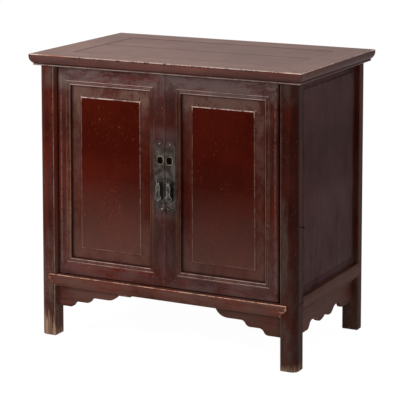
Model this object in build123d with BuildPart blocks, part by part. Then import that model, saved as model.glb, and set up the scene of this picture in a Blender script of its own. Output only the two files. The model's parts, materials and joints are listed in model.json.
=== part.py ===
from build123d import *
import os

# Kang cabinet: a low wooden cabinet with two pivot-hung doors between four leaning legs.
# Millimetres. The origin is on the floor, under the middle of the top. +X is the cabinet's
# right as seen from the front, +Y points to the back and +Z up. Pieces that come in pairs are
# built on the right (+X) and mirrored to the left.

os.makedirs("parts", exist_ok=True)

# ---------------------------------------------------------------- driving dimensions

# Top: a mitred frame around two floating boards
top_width = 900
top_depth = 566
overall_height = 886
top_thickness = 35
top_member_width = 100
top_edge_drop = 8  # upright part of the edge, below the upper face
top_edge_inset = 11.5  # how far the edge curves in underneath
top_bead_height = 5.5  # thin bead at the foot of the edge
top_bead_swell = 2.2
top_board_thickness = 12
top_board_drop = 0.6  # the boards lie this far below the frame's upper face
top_seam_offset = 8  # the seam between the boards lies this far behind the middle
top_batten_width = 36
top_batten_spacing = 300

# Legs: round outside, square inside, leaning in towards the top
side_overhang = 23.5  # top beyond the legs' outer faces, at the top
front_overhang = 19.5
leg_width = 52
leg_depth = 49
leg_splay = 10  # the feet stand this much further out than the leg heads
leg_round = 21
bead_width = 5.5
quirk = 1.5  # side of the square groove that sets off a bead
arris_round = 2.2
foot_round = 2
leg_tenon = 30
leg_tenon_length = 20

# Bottom rails
front_rail_bottom = 161.5
front_rail_height = 39
front_rail_depth = 45  # from the legs' front faces to the rail's back
front_rail_proud = 4.5
front_rail_bulge = 1.6
front_rail_undercut = 7
rail_nosing = 2
tongue_reach = 21  # how far the rail's ends lap over the legs
tongue_drop = 9  # upright part of a tongue's tip
side_rail_bottom = 176
side_rail_height = 42
side_rail_depth = 36
side_rail_proud = 2.4
side_rail_bead = 6
side_rail_bulge = 1.6
side_tongue_reach = 24
tenon_thickness = 12
tenon_length = 22
tenon_shoulder = 6
tenon_setback = 12  # from the legs' front and back faces to the rails' tenons
rail_groove = 6  # how far the carved boards enter the rails and legs
overcut = 1  # how far a cutting shape passes the surface that it cuts

# Side and back panels
panel_thickness = 8
panel_tongue = 7  # how far a panel enters its grooves
side_panel_recess = 16
side_field_rise = 6
side_field_border = 21
back_rail_recess = 6
back_panel_recess = 20
back_muntin_width = 50
back_muntin_thickness = 22

# Carved boards below the rails
carved_board_thickness = 14
bracket_recess = 20  # behind the front rail's face
bracket_flats = [(44, 65), (104, 46), (178, 28)]  # (run from the leg, depth) of each step
bracket_ogee = 30  # run of the curve from one step to the next
bracket_length = 219
apron_recess = 18.5  # behind the legs' outer faces
apron_end_depth = 81
apron_arch_depth = 58
apron_lobe_depth = 78
apron_notch_depth = 67
apron_end_flat = 138  # half distance between the end flats
apron_arch_outer = 102
apron_arch_inner = 86
apron_lobe = 38
apron_lobe_inner = 11

# Floor and shelf
floor_thickness = 12
floor_board_count = 4
door_stop_gap = 1  # from the doors' backs to the floor boards' front ends
shelf_top = 544
shelf_thickness = 12
shelf_setback = 12.5  # clear space between the shelf and the legs, front and back
shelf_board_count = 3
bearer_height = 32
bearer_width = 24
bearer_setback = 2  # from the legs' inner faces

# Doors
door_recess = 11.5  # behind the legs' front faces
door_thickness = 28
door_edge_gap = 3  # between a door's rounded edge and the leg
door_top_gap = 4
door_bottom_gap = 4
door_meeting_gap = 1.5
hinge_stile_width = 49.5
meeting_stile_width = 51.5
door_rail_width = 52
reed_width = 5.1
reed_count = 3
reed_depth = 1.6
panel_step = 9  # from the door's face down to its panel
field_border = 31
field_rise = 4
field_slope = 45
door_mitre_depth = 12  # behind this the stiles run through and the rails are lapped
door_batten_width = 36
door_batten_spacing = 250
door_batten_housing = 12
pivot_radius = 8
pivot_clearance = 0.3
top_pivot_length = 15
bottom_pivot_length = 18

# Lock plates, nails and pulls
plate_thickness = 1.5
plate_inner = 1.3  # the plate's edge beside the seam
plate_outer = 35
plate_below_pull = 101  # from the pull's pin down to the plate's foot
plate_length = 218.5
plate_crown = 13  # height of the lobed ends
plate_ear = 6  # width of the small curves beside the lobe
plate_cusp_share = 0.8  # how far down the crown the cusps lie
plate_foot_share = 1.5  # how far down the crown the outer curves end
plate_window_width = 21
plate_window_height = 24
plate_window_across = 15.3
plate_window_above_pull = 59
plate_window_round = 8
plate_pocket = 10  # lock mortise behind the window
top_nail = (17.5, 9.5)  # distance from the seam and from the plate's end
bottom_nails = [(24, 18), (10, 13)]
nail_head_radius = 2.7
nail_head_height = 1.8
nail_shank_radius = 1
nail_length = 12
pull_across = 17.5  # the pull's distance from the seam
pull_height = 533
pull_standoff = 14  # from the door's face to the middle of the pin's eye
eye_radius = 5
wire_radius = 1.3
loop_radius = 4
loop_wire_radius = 1.2
metal_clearance = 0.3
pull_thickness = 2.6
pull_neck = 5
pull_shoulder_width = 13
pull_shoulder_drop = 13
pull_waist_width = 10
pull_waist_drop = 27
pull_width = 22
pull_flare_drop = 41
pull_centre_lobe = 11
pull_lobe_depth = 4
pull_length = 51
pin_tip_length = 9

# ---------------------------------------------------------------- derived places

leg_height = overall_height - top_thickness
leg_front = top_depth / 2 - front_overhang
leg_back_face = leg_front - leg_depth
leg_inner_floor = top_width / 2 - side_overhang - leg_width + leg_splay
front_rail_top = front_rail_bottom + front_rail_height
side_rail_top = side_rail_bottom + side_rail_height
door_face = leg_front - door_recess
door_back = door_face - door_thickness
door_bottom = front_rail_top + door_bottom_gap
door_top = leg_height - door_top_gap
pivot_across_door = door_thickness / 2
door_panel_face = door_face - panel_step
seam_edge = door_meeting_gap / 2
reeding = reed_width * reed_count
plate_bottom = pull_height - plate_below_pull
plate_top = plate_bottom + plate_length
plate_window_middle = (plate_window_across, pull_height + plate_window_above_pull)
nail_places = [(top_nail[0], plate_top - top_nail[1])]
nail_places += [(across, plate_bottom + up) for across, up in bottom_nails]
edge_round = pivot_across_door - 0.01  # nearly a full half round


def leg_inner(height):
    """Distance from the middle to the legs' inner faces at a height."""
    return leg_inner_floor - leg_splay * height / leg_height


def leg_outer(height):
    return leg_inner(height) + leg_width


def door_edge(height):
    """The right door's outer edge, which leans with the leg."""
    return leg_inner(height) - door_edge_gap


def climb(height):
    """The way a right leg runs while it rises by a height."""
    return Vector(-leg_splay * height / leg_height, 0, height)


def extrude_along_leg(height, mode=Mode.ADD):
    """Extrude the pending sketch along the leaning right leg."""
    extrude(amount=climb(height).length, dir=climb(height), mode=mode)


def export(piece, label):
    piece.part.label = label
    export_step(piece.part, f"parts/{label}.step")


def mirrored(piece):
    """The left-hand twin of a right-hand piece."""
    with BuildPart() as twin:
        mirror(piece.part, about=Plane.YZ)
    return twin


def export_pair(piece, name):
    export(piece, f"right_{name}")
    export(mirrored(piece), f"left_{name}")


def block(low, high):
    """A squared board between two corners."""
    with BuildPart() as board:
        with Locations(low):
            Box(*[b - a for a, b in zip(low, high)], align=(Align.MIN, Align.MIN, Align.MIN))
    return board


# ---------------------------------------------------------------- leg stock

# The plain front right leg, before its mortises are cut
with BuildPart() as leg_stock:
    with BuildSketch() as leg_section:
        with Locations((leg_inner_floor + leg_width / 2, leg_depth / 2 - leg_front)):
            Rectangle(leg_width, leg_depth)
        fillet(leg_section.vertices().group_by(Axis.X)[-1].sort_by(Axis.Y)[0], leg_round)
        across = leg_section.vertices().group_by(Axis.X)
        inner_front = across[0].sort_by(Axis.Y)[0]
        outer_back = across[-1].sort_by(Axis.Y)[-1]
        fillet([inner_front, outer_back], arris_round)
    extrude_along_leg(leg_height)
    fillet(leg_stock.edges().group_by(Axis.Z)[0], foot_round)
    # quirks beside the beads, on the front face and on the outer face
    with BuildSketch(Plane.XY.offset(2 * foot_round)):
        lean = climb(2 * foot_round).X
        front_quirk = (leg_inner_floor + bead_width + lean, -leg_front)
        side_quirk = (leg_inner_floor + leg_width + lean, -leg_back_face - bead_width)
        with Locations(front_quirk, side_quirk):
            Rectangle(quirk, quirk, rotation=45)
    extrude_along_leg(leg_height - 2 * foot_round, mode=Mode.SUBTRACT)
    # square tenon that enters the top frame
    with BuildSketch(Plane.XY.offset(leg_height)):
        with Locations((leg_inner(leg_height) + leg_width / 2, leg_depth / 2 - leg_front)):
            Rectangle(leg_tenon, leg_tenon)
    extrude(amount=leg_tenon_length)

with BuildPart() as back_leg_stock:
    mirror(leg_stock.part, about=Plane.XZ)

# ---------------------------------------------------------------- front corner brackets

bracket_face = leg_front + front_rail_proud - bracket_recess

with BuildPart() as bracket:
    with BuildSketch(Plane.XZ.offset(bracket_face)):
        with BuildLine():
            leg_side = leg_inner(front_rail_bottom)
            groove_top = (leg_side + rail_groove, front_rail_bottom + rail_groove)
            start = (leg_side + rail_groove, front_rail_bottom - bracket_flats[0][1])
            Line(groove_top, start)
            reached = start
            for (run, depth), (_, next_depth) in zip(bracket_flats, bracket_flats[1:]):
                flat_end = (leg_side - run, front_rail_bottom - depth)
                ogee_end = (flat_end[0] - bracket_ogee, front_rail_bottom - next_depth)
                middle = ((flat_end[0] + ogee_end[0]) / 2, (flat_end[1] + ogee_end[1]) / 2)
                Line(reached, flat_end)
                TangentArc(flat_end, middle, tangent=(-1, 0))
                TangentArc(ogee_end, middle, tangent=(1, 0))
                reached = ogee_end
            last_run, last_depth = bracket_flats[-1]
            flat_end = (leg_side - last_run, front_rail_bottom - last_depth)
            tip = (leg_side - bracket_length, front_rail_bottom)
            Line(reached, flat_end)
            TangentArc(flat_end, tip, tangent=(-1, 0))
            Polyline(tip, (tip[0], groove_top[1]), groove_top)
        make_face()
    extrude(amount=-carved_board_thickness)

# ---------------------------------------------------------------- front rail

rail_face = leg_front + front_rail_proud
tongue_tip = leg_inner(front_rail_top) + tongue_reach


def front_rail_bar():
    """The rail's bulging section, as long as the tongues reach."""
    with BuildPart() as bar:
        with BuildSketch(Plane.YZ):
            with BuildLine():
                upper = (-rail_face, front_rail_top - rail_nosing)
                belly = (-rail_face - front_rail_bulge, front_rail_top - front_rail_height / 3)
                lower = (front_rail_undercut - rail_face, front_rail_bottom)
                back = front_rail_depth - leg_front
                ThreePointArc(upper, belly, lower)
                Polyline(lower, (back, front_rail_bottom), (back, front_rail_top),
                         (rail_nosing - rail_face, front_rail_top))
                RadiusArc((rail_nosing - rail_face, front_rail_top), upper, -rail_nosing)
            make_face()
        extrude(amount=tongue_tip, both=True)
    return bar


def rail_tenon(front, bottom, reach):
    """A through block that makes the tenons at both ends of a rail."""
    return block((-reach, front, bottom), (reach, front + tenon_thickness,
                 bottom + front_rail_height - 2 * tenon_shoulder))


def leaning_outline(bottom, top, overlap=0):
    """Corners of the area between the legs' inner faces, from one height to another."""
    low = leg_inner(bottom) + overlap
    high = leg_inner(top) + overlap
    return [(-low, bottom), (low, bottom), (high, top), (-high, top)]


front_tenon_front = tenon_setback - leg_front
front_tenon_reach = leg_inner(front_rail_bottom) + tenon_length
pivot_foot = Plane(origin=(door_edge(0) - pivot_across_door, pivot_across_door - door_face, 0),
                   z_dir=climb(1))


def pivot_pin(low, high, radius):
    """A round pin on the right door's leaning axis, between two heights."""
    with BuildPart() as pin:
        with BuildSketch(pivot_foot.offset(climb(low).length)):
            Circle(radius)
        extrude(amount=climb(high - low).length)
    return pin


socket_radius = pivot_radius + pivot_clearance
bottom_pivot_end = front_rail_top - bottom_pivot_length
top_pivot_end = leg_height + top_pivot_length
bottom_socket = pivot_pin(bottom_pivot_end - pivot_clearance, front_rail_top + overcut,
                          socket_radius)
top_socket = pivot_pin(leg_height - overcut, top_pivot_end + pivot_clearance, socket_radius)

with BuildPart() as rail_tongues:
    add(front_rail_bar().part)
    with BuildSketch(Plane.XZ.offset(leg_front)):
        with BuildLine():
            heel = (leg_inner(front_rail_bottom), front_rail_bottom)
            tip_low = (tongue_tip, front_rail_top - tongue_drop)
            tip_high = (tongue_tip, front_rail_top)
            swing = ((heel[0] + tip_low[0]) / 2, (heel[1] + tip_low[1]) / 2)
            Line((0, front_rail_bottom), heel)
            TangentArc(heel, swing, tangent=(0, 1))
            TangentArc(tip_low, swing, tangent=(0, -1))
            Polyline(tip_low, tip_high, (0, front_rail_top), (0, front_rail_bottom))
        make_face()
        mirror(about=Plane.YZ)
    extrude(amount=front_rail_proud + front_rail_bulge, mode=Mode.INTERSECT)

with BuildPart() as front_rail:
    add(front_rail_bar().part)
    with BuildSketch(Plane.XZ):
        Polygon(*leaning_outline(front_rail_bottom, front_rail_top), align=None)
    extrude(amount=rail_face + front_rail_bulge, mode=Mode.INTERSECT)
    add(rail_tongues.part)
    add(rail_tenon(front_tenon_front, front_rail_bottom + tenon_shoulder, front_tenon_reach).part)
    for side in (bracket, mirrored(bracket), bottom_socket, mirrored(bottom_socket)):
        add(side.part, mode=Mode.SUBTRACT)

# ---------------------------------------------------------------- side aprons

apron_face = leg_outer(side_rail_bottom) - apron_recess
apron_plane = Plane(origin=(apron_face, 0, 0), x_dir=(0, 1, 0), z_dir=(1, 0, 0))

with BuildPart() as side_apron:
    with BuildSketch(apron_plane):
        with BuildLine():
            lower_edge = [(apron_end_flat, apron_end_depth), (apron_arch_outer, apron_arch_depth),
                          (apron_arch_inner, apron_arch_depth), (apron_lobe, apron_lobe_depth)]
            edge = [(run, side_rail_bottom - depth) for run, depth in lower_edge]
            end = leg_back_face + rail_groove
            groove_ceiling = side_rail_bottom + rail_groove
            Polyline((0, groove_ceiling), (end, groove_ceiling), (end, edge[0][1]), edge[0])
            for near, far in ((edge[0], edge[1]), (edge[2], edge[3])):
                middle = ((near[0] + far[0]) / 2, (near[1] + far[1]) / 2)
                TangentArc(near, middle, tangent=(-1, 0))
                TangentArc(far, middle, tangent=(1, 0))
            Line(edge[1], edge[2])
            notch = (0, side_rail_bottom - apron_notch_depth)
            lobe_side = (apron_lobe_inner, (notch[1] + edge[3][1]) / 2)
            TangentArc(edge[3], lobe_side, tangent=(-1, 0))
            Line(lobe_side, notch)
            Line(notch, (0, groove_ceiling))
        make_face()
        mirror(about=Plane.YZ)
    extrude(amount=-carved_board_thickness)

# ---------------------------------------------------------------- side panels

panel_low = side_rail_top - panel_tongue
panel_rise = leg_height + panel_tongue - panel_low
side_panel_span = 2 * (leg_back_face + panel_tongue)

with BuildPart() as side_panel:
    with BuildSketch(Plane.XY.offset(panel_low)):
        with Locations((leg_outer(panel_low) - side_panel_recess - panel_thickness / 2, 0)):
            Rectangle(panel_thickness, side_panel_span)
    extrude_along_leg(panel_rise)
    field_middle = (side_rail_top + leg_height) / 2
    field_origin = (leg_outer(field_middle) - side_panel_recess, 0, field_middle)
    with BuildSketch(Plane(origin=field_origin, x_dir=(0, 1, 0), z_dir=climb(1).rotate(Axis.Y, 90))):
        Rectangle(2 * (leg_back_face - side_field_border),
                  leg_height - side_rail_top - 2 * side_field_border)
    extrude(amount=side_field_rise, taper=field_slope)

# ---------------------------------------------------------------- side rails

side_rail_outer = leg_outer(side_rail_bottom) + side_rail_proud
side_rail_inner = leg_outer(side_rail_bottom) - side_rail_depth

with BuildPart() as side_rail:
    with BuildSketch(Plane.XZ):
        with BuildLine():
            bead_valley = side_rail_outer - side_rail_bulge
            bead_top = (bead_valley, side_rail_bottom + side_rail_bead)
            bead_middle = (side_rail_outer, side_rail_bottom + side_rail_bead / 2)
            bead_foot = (bead_valley, side_rail_bottom)
            face_top = (side_rail_outer - side_rail_bulge, side_rail_top)
            face_middle = (side_rail_outer, (side_rail_bottom + side_rail_top) / 2)
            Polyline(bead_foot, (side_rail_inner, side_rail_bottom),
                     (side_rail_inner, side_rail_top), face_top)
            ThreePointArc(face_top, face_middle, bead_top)
            ThreePointArc(bead_top, bead_middle, bead_foot)
        make_face()
    extrude(amount=leg_back_face + side_tongue_reach, both=True)
    # shoulders: the back end keeps a lap over the leg, the front end stops at the leg
    front_stop = -leg_back_face - side_tongue_reach
    lap_inside = leg_outer(side_rail_top)
    add(block((side_rail_inner, front_stop, side_rail_bottom),
              (side_rail_outer, -leg_back_face, side_rail_top)).part, mode=Mode.SUBTRACT)
    add(block((side_rail_inner, leg_back_face, side_rail_bottom),
              (lap_inside, -front_stop, side_rail_top)).part, mode=Mode.SUBTRACT)
    tenon_middle = side_rail_inner + side_rail_depth / 2 - tenon_thickness
    add(block((tenon_middle, -leg_back_face - tenon_length, side_rail_bottom + tenon_shoulder),
              (tenon_middle + tenon_thickness, leg_back_face + tenon_length,
               side_rail_top - 2 * tenon_shoulder)).part)
    add(side_panel.part, mode=Mode.SUBTRACT)
    add(side_apron.part, mode=Mode.SUBTRACT)

# ---------------------------------------------------------------- back: rail, muntin, panels

back_panel_face = leg_front - back_panel_recess
muntin_back = back_panel_face + (back_muntin_thickness - panel_thickness) / 2
muntin_front = muntin_back - back_muntin_thickness
back_tongue_outline = leaning_outline(front_rail_top - panel_tongue,
                                      leg_height + panel_tongue, panel_tongue)

with BuildPart() as back_panel:
    with BuildSketch(Plane.XZ.offset(-back_panel_face)):
        _, low_right, high_right, _ = back_tongue_outline
        inner = back_muntin_width / 2 - panel_tongue
        Polygon((inner, low_right[1]), low_right, high_right, (inner, high_right[1]), align=None)
    extrude(amount=panel_thickness)

with BuildPart() as back_muntin:
    add(block((-back_muntin_width / 2, muntin_front, front_rail_top),
              (back_muntin_width / 2, muntin_back, leg_height)).part)
    add(block((-back_muntin_width / 4, back_panel_face - panel_thickness,
               front_rail_top - tenon_length / 2),
              (back_muntin_width / 4, back_panel_face, leg_height + tenon_length / 2)).part)
    add(back_panel.part, mode=Mode.SUBTRACT)
    add(mirrored(back_panel).part, mode=Mode.SUBTRACT)

with BuildPart() as back_rail:
    with BuildSketch(Plane.XZ.offset(front_rail_depth - leg_front)):
        Polygon(*leaning_outline(front_rail_bottom, front_rail_top), align=None)
    extrude(amount=back_rail_recess - front_rail_depth)
    add(rail_tenon(leg_front - tenon_setback - tenon_thickness,
                   front_rail_bottom + tenon_shoulder, front_tenon_reach).part)
    for piece in (back_panel, mirrored(back_panel), back_muntin):
        add(piece.part, mode=Mode.SUBTRACT)

# ---------------------------------------------------------------- shelf bearers

bearer_top = shelf_top - shelf_thickness
bearer_inner = leg_inner(bearer_top) + bearer_setback

with BuildPart() as shelf_bearer:
    add(block((bearer_inner, -leg_back_face, bearer_top - bearer_height),
              (bearer_inner + bearer_width, leg_back_face, bearer_top)).part)
    bearer_tenon = (bearer_width - tenon_thickness) / 2
    add(block((bearer_inner + bearer_tenon, -leg_back_face - tenon_length / 2,
               bearer_top - bearer_height + tenon_shoulder),
              (bearer_inner + bearer_width - bearer_tenon, leg_back_face + tenon_length / 2,
               bearer_top - tenon_shoulder)).part)

# ---------------------------------------------------------------- legs

with BuildPart() as front_leg:
    add(leg_stock.part)
    for piece in (front_rail, side_rail, side_panel, side_apron, bracket, shelf_bearer):
        add(piece.part, mode=Mode.SUBTRACT)

with BuildPart() as back_leg:
    add(back_leg_stock.part)
    for piece in (back_rail, side_rail, side_panel, side_apron, back_panel, shelf_bearer):
        add(piece.part, mode=Mode.SUBTRACT)

# ---------------------------------------------------------------- top boards and battens

board_upper = overall_height - top_board_drop
board_under = board_upper - top_board_thickness
board_tongue_top = board_under + top_board_thickness / 2
opening_x = top_width / 2 - top_member_width
opening_y = top_depth / 2 - top_member_width


def top_board(front, back, tongue_front, tongue_back):
    """A floating board, full thickness in the opening and half thickness in the grooves."""
    with BuildPart() as board:
        add(block((-opening_x, front, board_under), (opening_x, back, board_upper)).part)
        add(block((-opening_x - panel_tongue, front - tongue_front, board_under),
                  (opening_x + panel_tongue, back + tongue_back, board_tongue_top)).part)
    return board


front_top_board = top_board(-opening_y, top_seam_offset, panel_tongue, 0)
back_top_board = top_board(top_seam_offset, opening_y, 0, panel_tongue)

with BuildPart() as top_battens:
    with GridLocations(top_batten_spacing, 0, 2, 1):
        with Locations((0, 0, (leg_height + board_under) / 2)):
            Box(top_batten_width, 2 * (opening_y + tenon_length / 2), board_under - leg_height)

# ---------------------------------------------------------------- top frame


def top_member(edge, half_span, outline):
    """A frame member: the moulded edge section along its outer edge, mitred at its ends."""
    with BuildPart() as member:
        with BuildSketch(edge):
            with BuildLine():
                brow = (0, overall_height - top_edge_drop)
                arris = (arris_round, overall_height)
                bead_top = (top_edge_inset, leg_height + top_bead_height)
                bead_middle = (top_edge_inset - top_bead_swell, leg_height + top_bead_height / 2)
                bead_foot = (top_edge_inset, leg_height)
                inner = top_member_width
                RadiusArc(arris, (0, overall_height - arris_round), -arris_round)
                Line((0, overall_height - arris_round), brow)
                TangentArc(brow, bead_top, tangent=(0, -1))
                ThreePointArc(bead_top, bead_middle, bead_foot)
                Polyline(bead_foot, (inner, leg_height), (inner, overall_height), arris)
            make_face()
        extrude(amount=half_span, both=True)
        with BuildSketch():
            Polygon(*outline, align=None)
        extrude(amount=overall_height, mode=Mode.INTERSECT)
    return member


outer_x = top_width / 2
outer_y = top_depth / 2
front_edge = Plane(origin=(0, -outer_y, 0), x_dir=(0, 1, 0), z_dir=(1, 0, 0))
right_edge = Plane(origin=(outer_x, 0, 0), x_dir=(-1, 0, 0), z_dir=(0, 1, 0))
front_outline = [(-outer_x, -outer_y), (outer_x, -outer_y), (opening_x, -opening_y),
                 (-opening_x, -opening_y)]
right_outline = [(outer_x, -outer_y), (outer_x, outer_y), (opening_x, opening_y),
                 (opening_x, -opening_y)]

with BuildPart() as top_frame_front:
    add(top_member(front_edge, outer_x, front_outline).part)
    for piece in (front_top_board, top_battens, leg_stock, mirrored(leg_stock), top_socket,
                  mirrored(top_socket)):
        add(piece.part, mode=Mode.SUBTRACT)

with BuildPart() as top_frame_back:
    mirror(top_member(front_edge, outer_x, front_outline).part, about=Plane.XZ)
    for piece in (back_top_board, top_battens, back_leg_stock, mirrored(back_leg_stock),
                  back_panel, mirrored(back_panel), back_muntin):
        add(piece.part, mode=Mode.SUBTRACT)

with BuildPart() as top_frame_side:
    add(top_member(right_edge, outer_y, right_outline).part)
    for piece in (front_top_board, back_top_board, leg_stock, back_leg_stock, side_panel):
        add(piece.part, mode=Mode.SUBTRACT)

# ---------------------------------------------------------------- floor and shelf boards

floor_front = door_stop_gap - door_back
floor_back = muntin_front
floor_half = side_rail_inner
floor_pitch = 2 * floor_half / floor_board_count
floor_boards = []
for index in range(floor_board_count):
    left = index * floor_pitch - floor_half
    with BuildPart() as floor_board:
        add(block((left, floor_front, front_rail_top),
                  (left + floor_pitch, floor_back, front_rail_top + floor_thickness)).part)
        for leg in (leg_stock, back_leg_stock):
            add(leg.part, mode=Mode.SUBTRACT)
            add(mirrored(leg).part, mode=Mode.SUBTRACT)
    floor_boards.append(floor_board)

shelf_half = bearer_inner + bearer_width
shelf_front = shelf_setback - leg_back_face
shelf_pitch = -2 * shelf_front / shelf_board_count
shelf_boards = []
for index in range(shelf_board_count):
    front = shelf_front + index * shelf_pitch
    shelf_boards.append(block((-shelf_half, front, bearer_top),
                              (shelf_half, front + shelf_pitch, shelf_top)))

# ---------------------------------------------------------------- doors


def door_section(plane, width, rounded=False):
    """Section of a door member: outer edge at 0, reeds and panel groove at the inner edge."""
    with BuildSketch(plane) as section:
        with Locations((width / 2, door_thickness / 2)):
            Rectangle(width, door_thickness)
        for index in range(reed_count):
            reed_start = width - (index + 1) * reed_width
            with BuildLine():
                ThreePointArc((reed_start, reed_depth), (reed_start + reed_width / 2, 0),
                              (reed_start + reed_width, reed_depth))
                Polyline((reed_start + reed_width, reed_depth), (reed_start + reed_width, -overcut),
                         (reed_start, -overcut), (reed_start, reed_depth))
            make_face(mode=Mode.SUBTRACT)
        with Locations((width - panel_tongue / 2, panel_step + panel_thickness / 2)):
            Rectangle(panel_tongue, panel_thickness, mode=Mode.SUBTRACT)
        if rounded:
            fillet(section.vertices().group_by(Axis.X)[0], edge_round)
            with Locations((pivot_across_door + 2 * quirk, 0)):
                Rectangle(quirk, quirk, rotation=45, mode=Mode.SUBTRACT)
    return section


def door_member(section, direction, outline):
    """A stile or rail: its section run along a direction, mitred where it shows in front."""
    with BuildPart() as member:
        add(section.sketch)
        extrude(amount=direction.length, dir=direction)
        with BuildSketch(Plane.XZ):
            Polygon(*outline, align=None)
        extrude(amount=door_face, mode=Mode.INTERSECT)
    return member


def through_stile(section, direction, outline):
    """A stile that is mitred in front and runs the door's full height behind the mitres."""
    with BuildPart() as stile:
        add(section.sketch)
        extrude(amount=direction.length, dir=direction)
        with BuildSketch(Plane.XZ.offset(door_face - door_mitre_depth)):
            Rectangle(top_width, 2 * overall_height)
        extrude(amount=-door_thickness, mode=Mode.INTERSECT)
        add(door_member(section, direction, outline).part)
        add(door_battens.part, mode=Mode.SUBTRACT)
    return stile


sight_left = seam_edge + meeting_stile_width
sight_low = door_bottom + door_rail_width
sight_high = door_top - door_rail_width


def sight_right(height):
    """Inner edge of the hinge stile."""
    return door_edge(height) - hinge_stile_width


def inset_outline(inset):
    """The door's panel opening, drawn in by an inset (drawn out where it is negative)."""
    low = sight_low + inset
    high = sight_high - inset
    return [(sight_left + inset, low), (sight_right(low) - inset, low),
            (sight_right(high) - inset, high), (sight_left + inset, high)]


# each mitre runs from the door's corner to the reeds' outer corner and on to the sight corner
sight_corners = inset_outline(0)
reed_corners = inset_outline(-reeding)
door_corners = [(seam_edge, door_bottom), (door_edge(door_bottom), door_bottom),
                (door_edge(door_top), door_top), (seam_edge, door_top)]


def mitred_outline(first, second):
    """Outline of the member between two numbered corners of the door."""
    return [door_corners[first], door_corners[second], reed_corners[second],
            sight_corners[second], sight_corners[first], reed_corners[first]]


along_door = Vector(door_edge(door_bottom) - seam_edge, 0, 0)
door_rise = door_top - door_bottom

hinge_plane = Plane(origin=(door_edge(door_bottom), -door_face, door_bottom), x_dir=(-1, 0, 0),
                    z_dir=(0, 0, -1))
meeting_plane = Plane(origin=(seam_edge, -door_face, door_bottom))
bottom_plane = Plane(origin=(seam_edge, -door_face, door_bottom), x_dir=(0, 0, 1),
                     z_dir=(-1, 0, 0))
head_plane = Plane(origin=(seam_edge, -door_face, door_top), x_dir=(0, 0, -1), z_dir=(1, 0, 0))

with BuildPart() as door_battens:
    for height in ((sight_low + sight_high - door_batten_spacing) / 2,
                   (sight_low + sight_high + door_batten_spacing) / 2):
        add(block((sight_left - door_batten_housing, panel_thickness - door_panel_face,
                   height - door_batten_width / 2),
                  (sight_right(height) + door_batten_housing, -door_back,
                   height + door_batten_width / 2)).part)

with BuildPart() as door_panel:
    with BuildSketch(Plane.XZ.offset(door_panel_face)):
        Polygon(*inset_outline(-panel_tongue), align=None)
    extrude(amount=-panel_thickness)
    with BuildSketch(Plane.XZ.offset(door_panel_face)):
        Polygon(*inset_outline(field_border), align=None)
    extrude(amount=field_rise, taper=field_slope)

hinge_section = door_section(hinge_plane, hinge_stile_width, rounded=True)
with BuildPart() as hinge_stile:
    add(through_stile(hinge_section, climb(door_rise), mitred_outline(1, 2)).part)
    add(pivot_pin(bottom_pivot_end, door_bottom, pivot_radius).part)
    add(pivot_pin(door_top, top_pivot_end, pivot_radius).part)

# ---------------------------------------------------------------- lock plates, pins, pulls

eye_place = (pull_across, -door_face - pull_standoff, pull_height)

with BuildPart() as plate_nails:
    for across, height in nail_places:
        with BuildSketch(Plane((across, -door_face, height))):
            with BuildLine():
                seat = -plate_thickness
                crown = seat - nail_head_height
                Polyline((0, crown), (0, nail_length), (nail_shank_radius, nail_length),
                         (nail_shank_radius, seat), (nail_head_radius, seat))
                TangentArc((0, crown), (nail_head_radius, seat), tangent=(1, 0))
            make_face()
        revolve(axis=Axis((across, -door_face, height), (0, 1, 0)))

# everything the fittings need cut from the stile: lock pocket, pin hole and nail holes
with BuildPart() as fitting_cuts:
    with BuildSketch(Plane.XZ.offset(door_face + plate_thickness)) as window:
        with Locations(plate_window_middle):
            Rectangle(plate_window_width, plate_window_height)
        fillet(window.vertices().group_by(Axis.Y)[-1], plate_window_round)
    extrude(amount=-plate_thickness - plate_pocket)
    with BuildSketch(Plane.XZ.offset(door_face + plate_thickness)):
        with Locations((pull_across, pull_height)):
            Circle(wire_radius + metal_clearance)
    extrude(amount=-plate_thickness - door_thickness)
    with BuildSketch(Plane.XZ.offset(door_face + plate_thickness)):
        with Locations(*nail_places):
            Circle(nail_shank_radius + metal_clearance)
    extrude(amount=-plate_thickness - nail_length - metal_clearance)

with BuildPart() as lock_plate:
    with BuildSketch(Plane.XZ.offset(door_face)):
        with BuildLine():
            feet = []
            for end, crown in ((plate_top, plate_crown), (plate_bottom, -plate_crown)):
                cusp_height = end - crown * plate_cusp_share
                corner = (plate_inner, end - crown)
                inner_cusp = (plate_inner + plate_ear, cusp_height)
                outer_cusp = (plate_outer - plate_ear, cusp_height)
                foot = (plate_outer, end - crown * plate_foot_share)
                Line(corner, inner_cusp)
                ThreePointArc(inner_cusp, ((plate_inner + plate_outer) / 2, end), outer_cusp)
                TangentArc(outer_cusp, foot, tangent=(1, 0))
                feet.append((corner, foot))
            for near, far in zip(*feet):
                Line(near, far)
        make_face()
    extrude(amount=plate_thickness)
    add(fitting_cuts.part, mode=Mode.SUBTRACT)

meeting_section = door_section(meeting_plane, meeting_stile_width)
with BuildPart() as meeting_stile:
    add(through_stile(meeting_section, Vector(0, 0, door_rise), mitred_outline(3, 0)).part)
    add(fitting_cuts.part, mode=Mode.SUBTRACT)

# the rails' ends keep to the rounded edge of the whole door
with BuildPart() as door_blank:
    add(block((seam_edge, -door_face, door_bottom),
              (door_edge(door_top) - pivot_across_door, -door_back, door_top)).part)
    with BuildSketch(Plane.XY.offset(door_bottom)) as blank_section:
        outer_middle = (door_edge(door_bottom) - hinge_stile_width / 2, pivot_across_door - door_face)
        with Locations(outer_middle):
            Rectangle(hinge_stile_width, door_thickness)
        fillet(blank_section.vertices().group_by(Axis.X)[-1], edge_round)
    extrude(amount=climb(door_rise).length, dir=climb(door_rise))


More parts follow.
